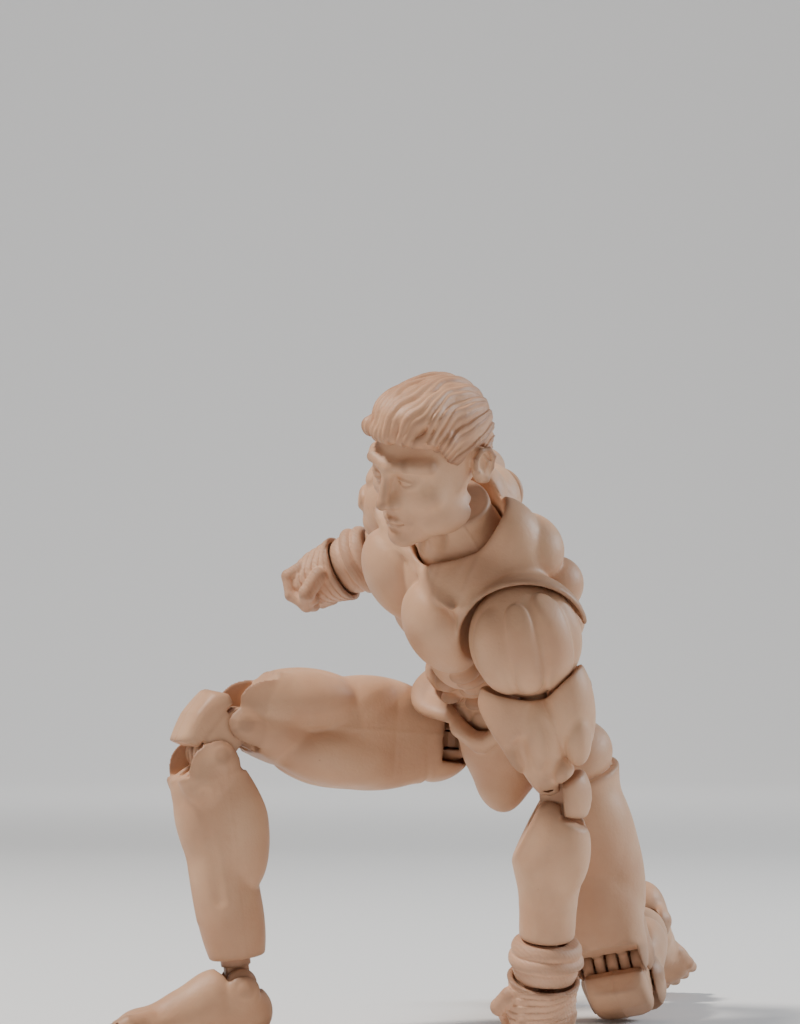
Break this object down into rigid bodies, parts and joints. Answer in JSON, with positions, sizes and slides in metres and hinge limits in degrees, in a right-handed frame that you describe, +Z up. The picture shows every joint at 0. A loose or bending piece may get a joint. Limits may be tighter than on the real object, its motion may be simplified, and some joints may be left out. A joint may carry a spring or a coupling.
{
  "type": "articulated action figure",
  "caption": "Small poseable muscular fighter figure with wrapped hands, kneeling on one knee; ball, swivel and double-hinge joints.",
  "frame": {"origin": "middle of the kneeling figure's footprint, on the surface it stands on", "axes": "+Z up; -Y the way the figure's hips face; +X to the figure's left"},
  "size_m": [0.0776, 0.1244, 0.1032],
  "materials": {
    "skin": "matte flesh-coloured moulded plastic with fine mottling",
    "hair": "matte flesh-coloured moulded plastic, strand grooves",
    "hand_wrap": "matte flesh-coloured moulded plastic, cloth-band relief",
    "hardware": "smooth matte joint plastic, slightly darker"
  },
  "bodies": {
    "pelvis": {"pelvis": "skin"},
    "waist_post": {"waist_post": "hardware"},
    "abdomen": {"abdomen": "skin"},
    "spine_post": {"spine_post": "hardware"},
    "spine_ball": {"spine_ball": "hardware"},
    "chest": {"chest_front": "skin", "chest_back": "skin"},
    "neck": {"neck": "skin"},
    "neck_post": {"neck_post": "hardware"},
    "head_ball": {"head_ball": "hardware"},
    "head": {"head": "skin", "hair": "hair"},
    "shoulder_peg_left": {"shoulder_peg_left": "hardware"},
    "deltoid_left": {"deltoid_left": "skin"},
    "upper_arm_left": {"upper_arm_left": "skin", "elbow_pin_upper_left": "hardware"},
    "elbow_link_left": {"elbow_link_left": "skin"},
    "forearm_left": {"elbow_pin_lower_left": "hardware", "forearm_left": "skin"},
    "wrist_peg_left": {"wrist_peg_left": "hardware", "wrist_wrap_left": "hand_wrap"},
    "fist_left": {"fist_left": "hand_wrap"},
    "hip_ball_left": {"hip_ball_left": "hardware"},
    "thigh_post_left": {"thigh_post_left": "hardware"},
    "thigh_left": {"thigh_left": "skin", "knee_pin_upper_left": "hardware"},
    "knee_link_left": {"knee_link_left": "skin"},
    "shin_left": {"knee_pin_lower_left": "hardware", "shin_left": "skin"},
    "ankle_peg_left": {"ankle_peg_left": "hardware"},
    "ankle_ball_left": {"ankle_ball_left": "hardware"},
    "foot_left": {"foot_left": "skin"},
    "shoulder_peg_right": {"shoulder_peg_right": "hardware"},
    "deltoid_right": {"deltoid_right": "skin"},
    "upper_arm_right": {"upper_arm_right": "skin", "elbow_pin_upper_right": "hardware"},
    "elbow_link_right": {"elbow_link_right": "skin"},
    "forearm_right": {"elbow_pin_lower_right": "hardware", "forearm_right": "skin"},
    "wrist_peg_right": {"wrist_peg_right": "hardware", "wrist_wrap_right": "hand_wrap"},
    "fist_right": {"fist_right": "hand_wrap"},
    "hip_ball_right": {"hip_ball_right": "hardware"},
    "thigh_post_right": {"thigh_post_right": "hardware"},
    "thigh_right": {"thigh_right": "skin", "knee_pin_upper_right": "hardware"},
    "knee_link_right": {"knee_link_right": "skin"},
    "shin_right": {"knee_pin_lower_right": "hardware", "shin_right": "skin"},
    "ankle_peg_right": {"ankle_peg_right": "hardware"},
    "ankle_ball_right": {"ankle_ball_right": "hardware"},
    "foot_right": {"foot_right": "skin"}
  },
  "joints": [
    {"name": "waist_turn", "type": "hinge", "parent": "pelvis", "child": "waist_post", "pos_m": [0.01303, -0.01406, 0.05442], "axis": [0.0802, -0.4603, 0.8842], "range_deg": [-9, 41]},
    {"name": "waist_bend", "type": "hinge", "parent": "waist_post", "child": "abdomen", "pos_m": [0.01303, -0.01406, 0.05442], "axis": [0.9582, -0.2089, -0.1957], "range_deg": [-28, 4]},
    {"name": "chest_turn", "type": "hinge", "parent": "abdomen", "child": "spine_post", "pos_m": [0.01319, -0.02187, 0.06354], "axis": [0.0014, -0.6803, 0.733], "range_deg": [-4, 42]},
    {"name": "chest_bend", "type": "hinge", "parent": "spine_post", "child": "spine_ball", "pos_m": [0.01319, -0.02187, 0.06354], "axis": [0.7116, -0.5143, -0.4786], "range_deg": [-10, 8]},
    {"name": "chest_tilt", "type": "hinge", "parent": "spine_ball", "child": "chest", "pos_m": [0.01319, -0.02187, 0.06354], "axis": [0.7021, 0.5457, 0.4575], "range_deg": [-21, 3]},
    {"name": "neck_bend", "type": "hinge", "parent": "chest", "child": "neck", "pos_m": [0.01712, -0.03647, 0.0782], "axis": [0.6988, -0.4044, -0.59], "range_deg": [-5.2, 20.8]},
    {"name": "head_turn", "type": "hinge", "parent": "neck", "child": "neck_post", "pos_m": [0.01868, -0.04547, 0.08623], "axis": [0.2427, -0.6418, 0.7275], "range_deg": [-63.7, 26.3]},
    {"name": "head_nod", "type": "hinge", "parent": "neck_post", "child": "head_ball", "pos_m": [0.01868, -0.04547, 0.08623], "axis": [0.8777, -0.1742, -0.4465], "range_deg": [-10.2, 13.8]},
    {"name": "head_tilt", "type": "hinge", "parent": "head_ball", "child": "head", "pos_m": [0.01868, -0.04547, 0.08623], "axis": [0.3963, 0.7877, 0.4717], "range_deg": [-1.7, 21.3]},
    {"name": "arm_swing_left", "type": "hinge", "parent": "chest", "child": "shoulder_peg_left", "pos_m": [0.02914, -0.03958, 0.06237], "axis": [-0.6988, 0.4044, 0.59], "range_deg": [-75.5, 44.5]},
    {"name": "arm_raise_left", "type": "hinge", "parent": "shoulder_peg_left", "child": "deltoid_left", "pos_m": [0.02914, -0.03958, 0.06237], "axis": [-0.64, -0.722, -0.2631], "range_deg": [-11, 15]},
    {"name": "arm_turn_left", "type": "hinge", "parent": "deltoid_left", "child": "upper_arm_left", "pos_m": [0.02914, -0.03958, 0.06237], "axis": [-0.0593, -0.2949, 0.9537], "range_deg": [-15, 75]},
    {"name": "elbow_upper_left", "type": "hinge", "parent": "upper_arm_left", "child": "elbow_link_left", "pos_m": [0.03048, -0.03294, 0.04091], "axis": [-0.3435, 0.903, 0.2579], "range_deg": [-6.6, 55.4]},
    {"name": "elbow_lower_left", "type": "hinge", "parent": "elbow_link_left", "child": "forearm_left", "pos_m": [0.03023, -0.03166, 0.03609], "axis": [-0.3435, 0.903, 0.2579], "range_deg": [-5.9, 56.1]},
    {"name": "wrist_turn_left", "type": "hinge", "parent": "forearm_left", "child": "wrist_peg_left", "pos_m": [0.02665, -0.02622, 0.01226], "axis": [0.1449, -0.2204, 0.9646], "range_deg": [-123.5, 56.5]},
    {"name": "wrist_bend_left", "type": "hinge", "parent": "wrist_peg_left", "child": "fist_left", "pos_m": [0.02665, -0.02622, 0.01226], "axis": [0.5842, 0.8059, 0.0963], "range_deg": [-31.1, 12.9]},
    {"name": "leg_swing_left", "type": "hinge", "parent": "pelvis", "child": "hip_ball_left", "pos_m": [0.02228, -0.01043, 0.04529], "axis": [-0.9968, -0.037, 0.0711], "range_deg": [-26.3, 15.7]},
    {"name": "leg_spread_left", "type": "hinge", "parent": "hip_ball_left", "child": "thigh_post_left", "pos_m": [0.02228, -0.01043, 0.04529], "axis": [0.0088, -0.9322, -0.3619], "range_deg": [-6, 41]},
    {"name": "thigh_turn_left", "type": "hinge", "parent": "thigh_post_left", "child": "thigh_left", "pos_m": [0.02228, -0.01043, 0.04529], "axis": [-0.0772, -0.3615, 0.9292], "range_deg": [-24, 4]},
    {"name": "knee_upper_left", "type": "hinge", "parent": "thigh_left", "child": "knee_link_left", "pos_m": [0.02517, 0.00312, 0.01045], "axis": [0.9455, 0.2693, 0.1833], "range_deg": [-33, 29]},
    {"name": "knee_lower_left", "type": "hinge", "parent": "knee_link_left", "child": "shin_left", "pos_m": [0.02453, 0.00786, 0.00682], "axis": [0.9455, 0.2693, 0.1833], "range_deg": [-47.7, 14.3]},
    {"name": "ankle_turn_left", "type": "hinge", "parent": "shin_left", "child": "ankle_peg_left", "pos_m": [0.01343, 0.04261, 0.01298], "axis": [0.2998, -0.9393, -0.1666], "range_deg": [-7, 21]},
    {"name": "ankle_bend_left", "type": "hinge", "parent": "ankle_peg_left", "child": "ankle_ball_left", "pos_m": [0.01343, 0.04261, 0.01298], "axis": [-0.9475, -0.2729, -0.1664], "range_deg": [-7, 49]},
    {"name": "ankle_rock_left", "type": "hinge", "parent": "ankle_ball_left", "child": "foot_left", "pos_m": [0.01343, 0.04261, 0.01298], "axis": [-0.0594, 0.6619, -0.7472], "range_deg": [-12, 12]},
    {"name": "arm_swing_right", "type": "hinge", "parent": "chest", "child": "shoulder_peg_right", "pos_m": [0.00258, -0.02421, 0.08479], "axis": [-0.6988, 0.4044, 0.59], "range_deg": [-12.8, 107.2]},
    {"name": "arm_raise_right", "type": "hinge", "parent": "shoulder_peg_right", "child": "deltoid_right", "pos_m": [0.00258, -0.02421, 0.08479], "axis": [0.5774, -0.1677, 0.799], "range_deg": [-4.7, 21.3]},
    {"name": "arm_turn_right", "type": "hinge", "parent": "deltoid_right", "child": "upper_arm_right", "pos_m": [0.00258, -0.02421, 0.08479], "axis": [0.1197, 0.9855, 0.1204], "range_deg": [-36.7, 13.3]},
    {"name": "elbow_upper_right", "type": "hinge", "parent": "upper_arm_right", "child": "elbow_link_right", "pos_m": [0.00528, -0.00204, 0.0875], "axis": [-0.3837, -0.0659, 0.9211], "range_deg": [-56, 6]},
    {"name": "elbow_lower_right", "type": "hinge", "parent": "elbow_link_right", "child": "forearm_right", "pos_m": [0.00182, 0.00137, 0.0863], "axis": [-0.3837, -0.0659, 0.9211], "range_deg": [-47.8, 14.2]},
    {"name": "wrist_turn_right", "type": "hinge", "parent": "forearm_right", "child": "wrist_peg_right", "pos_m": [-0.02085, -0.00069, 0.07671], "axis": [-0.9178, -0.0831, -0.3882], "range_deg": [-90, 90]},
    {"name": "wrist_bend_right", "type": "hinge", "parent": "wrist_peg_right", "child": "fist_right", "pos_m": [-0.02085, -0.00069, 0.07671], "axis": [0.1021, -0.9944, -0.0286], "range_deg": [-20.7, 23.3]},
    {"name": "leg_swing_right", "type": "hinge", "parent": "pelvis", "child": "hip_ball_right", "pos_m": [0.00234, -0.01118, 0.04671], "axis": [-0.9968, -0.037, 0.0711], "range_deg": [-139.2, 0.8]},
    {"name": "leg_spread_right", "type": "hinge", "parent": "hip_ball_right", "child": "thigh_post_right", "pos_m": [0.00234, -0.01118, 0.04671], "axis": [-0.07, -0.031, -0.9971], "range_deg": [-3, 6]},
    {"name": "thigh_turn_right", "type": "hinge", "parent": "thigh_post_right", "child": "thigh_right", "pos_m": [0.00234, -0.01118, 0.04671], "axis": [-0.6643, -0.7442, 0.0698], "range_deg": [-7.1, 20.9]},
    {"name": "knee_upper_right", "type": "hinge", "parent": "thigh_right", "child": "knee_link_right", "pos_m": [-0.02257, -0.03908, 0.04933], "axis": [0.7454, -0.6665, -0.0124], "range_deg": [-55, 7]},
    {"name": "knee_lower_right", "type": "hinge", "parent": "knee_link_right", "child": "shin_right", "pos_m": [-0.02513, -0.04186, 0.04467], "axis": [0.7454, -0.6665, -0.0124], "range_deg": [-46.7, 15.3]},
    {"name": "ankle_turn_right", "type": "hinge", "parent": "shin_right", "child": "ankle_peg_right", "pos_m": [-0.02216, -0.03786, 0.008], "axis": [0.0802, 0.1081, -0.9909], "range_deg": [-10.2, 17.8]},
    {"name": "ankle_bend_right", "type": "hinge", "parent": "ankle_peg_right", "child": "ankle_ball_right", "pos_m": [-0.02216, -0.03786, 0.008], "axis": [-0.7195, 0.6943, 0.0175], "range_deg": [-45.7, 10.3]},
    {"name": "ankle_rock_right", "type": "hinge", "parent": "ankle_ball_right", "child": "foot_right", "pos_m": [-0.02216, -0.03786, 0.008], "axis": [0.6944, 0.7196, -0.0006], "range_deg": [-11, 13]}
  ]
}
